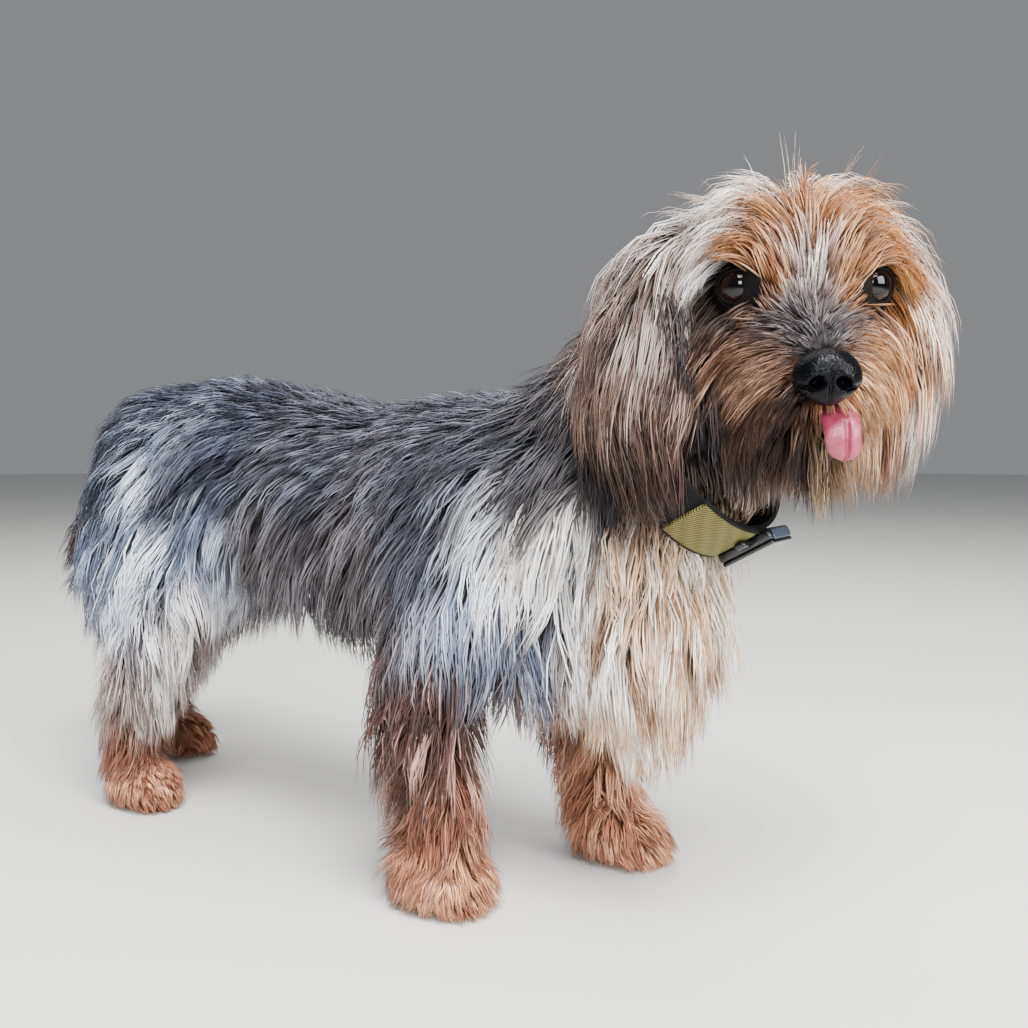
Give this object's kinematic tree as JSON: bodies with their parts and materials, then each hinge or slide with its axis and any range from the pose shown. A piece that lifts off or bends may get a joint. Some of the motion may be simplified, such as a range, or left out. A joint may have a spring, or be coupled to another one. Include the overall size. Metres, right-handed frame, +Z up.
{
  "type": "yorkshire terrier",
  "caption": "Life-size still model of a standing Yorkshire terrier with a long coat, head turned to its right, tongue just out, wearing a collar with a flat case.",
  "frame": {"origin": "On the floor, under the middle of the box round the dog.", "axes": "+X from the rump to the chest, +Y to the dog's left, +Z up. The head is turned to the dog's right, towards -Y."},
  "size_m": [0.5292, 0.1584, 0.3209],
  "materials": {
    "coat_steel": "long silky hair, dark steel grey with silver",
    "coat_cream": "long silky hair, silver white to cream",
    "coat_tan": "silky hair, golden tan",
    "nose": "moist black nose leather",
    "eyes": "wet dark brown eye",
    "tongue": "moist pink tongue",
    "webbing": "black woven webbing",
    "mesh": "yellow mesh fabric with dark yarns",
    "plastic": "black moulded plastic"
  },
  "bodies": {
    "root": {"collar_band": "webbing", "collar_case": "plastic", "collar_panel": "mesh", "ear_left": "coat_tan", "ear_right": "coat_tan", "eye_left": "eyes", "eye_right": "eyes", "front_leg_left_lower": "coat_tan", "front_leg_left_paw": "coat_tan", "front_leg_left_upper": "coat_cream", "front_leg_right_lower": "coat_tan", "front_leg_right_paw": "coat_tan", "front_leg_right_upper": "coat_cream", "head": "coat_tan", "hind_leg_left_lower": "coat_tan", "hind_leg_left_paw": "coat_tan", "hind_leg_left_upper": "coat_cream", "hind_leg_right_lower": "coat_tan", "hind_leg_right_paw": "coat_tan", "hind_leg_right_upper": "coat_cream", "jaw": "coat_tan", "neck": "coat_steel", "nose": "nose", "tail": "coat_steel", "tongue": "tongue", "torso": "coat_steel"}
  },
  "joints": []
}
